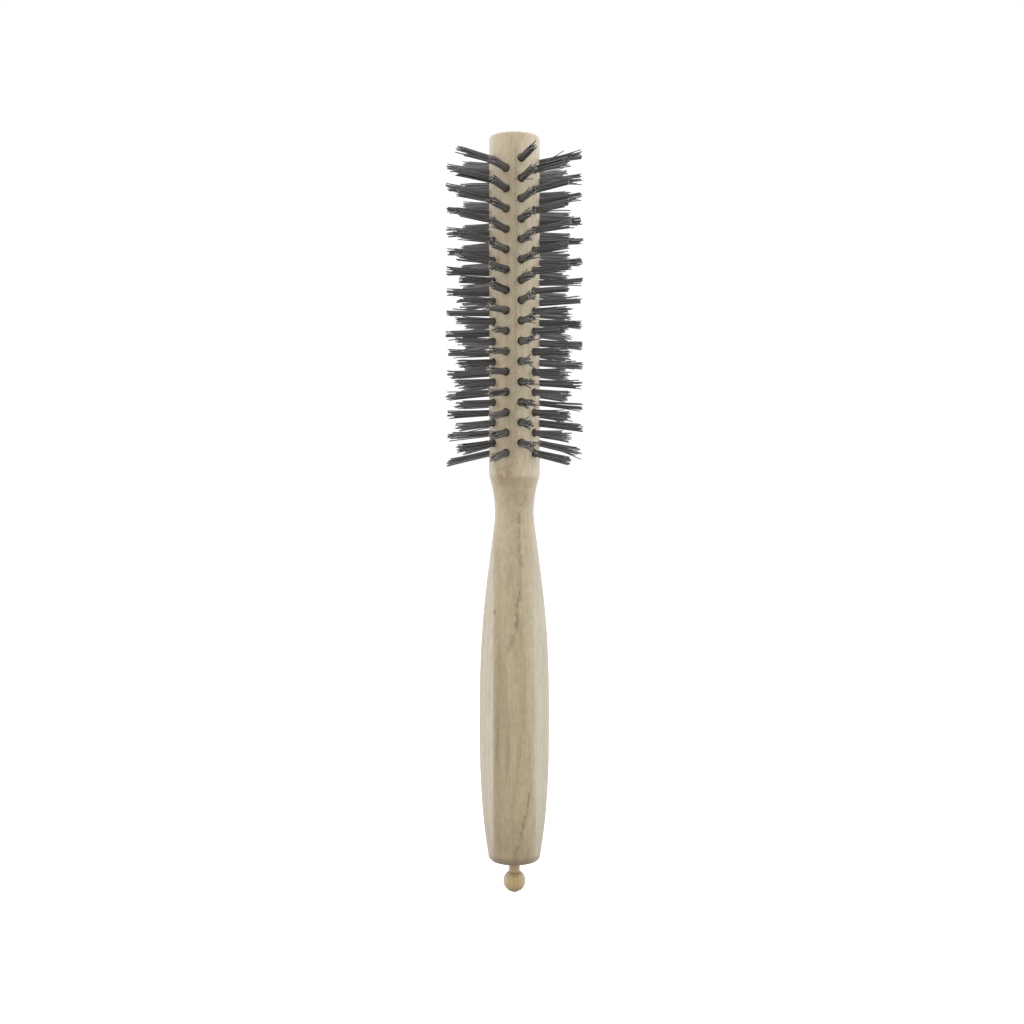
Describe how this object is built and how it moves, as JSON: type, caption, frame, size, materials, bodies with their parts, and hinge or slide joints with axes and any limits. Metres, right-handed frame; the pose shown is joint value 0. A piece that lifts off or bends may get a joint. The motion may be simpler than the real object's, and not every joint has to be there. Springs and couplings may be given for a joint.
{
  "type": "round barrel hair brush",
  "caption": "Round blow-drying brush with a slim turned wooden barrel, staple-set bristle tufts, a grip with flats and a pull-out sectioning pick.",
  "frame": {"origin": "on the brush's axis, at the lowest point of the pick's knob, with the brush upright", "axes": "+Z along the brush's axis from the knob to the barrel's end; -Y is the front, which the middle of one flat of the grip faces"},
  "size_m": [0.0432, 0.0424, 0.2342],
  "materials": {
    "body_wood": "satin lacquered pale ash, long grain",
    "pick_wood": "satin turned wood, warmer than the body",
    "bristle": "dark bristle with lighter tips",
    "anchor_wire": "flat drawn wire"
  },
  "bodies": {
    "brush": {"wood_body": "body_wood", "tuft_column_01": "bristle", "tuft_column_02": "bristle", "tuft_column_03": "bristle", "tuft_column_04": "bristle", "tuft_column_05": "bristle", "tuft_column_06": "bristle", "tuft_column_07": "bristle", "tuft_column_08": "bristle", "tuft_column_09": "bristle", "tuft_column_10": "bristle", "anchor_column_01": "anchor_wire", "anchor_column_02": "anchor_wire", "anchor_column_03": "anchor_wire", "anchor_column_04": "anchor_wire", "anchor_column_05": "anchor_wire", "anchor_column_06": "anchor_wire", "anchor_column_07": "anchor_wire", "anchor_column_08": "anchor_wire", "anchor_column_09": "anchor_wire", "anchor_column_10": "anchor_wire"},
    "pick": {"sectioning_pick": "pick_wood"}
  },
  "joints": [
    {"name": "pick_slide", "type": "slide", "parent": "brush", "child": "pick", "axis": [0, 0, -1], "range_m": [0, 0.062]}
  ]
}
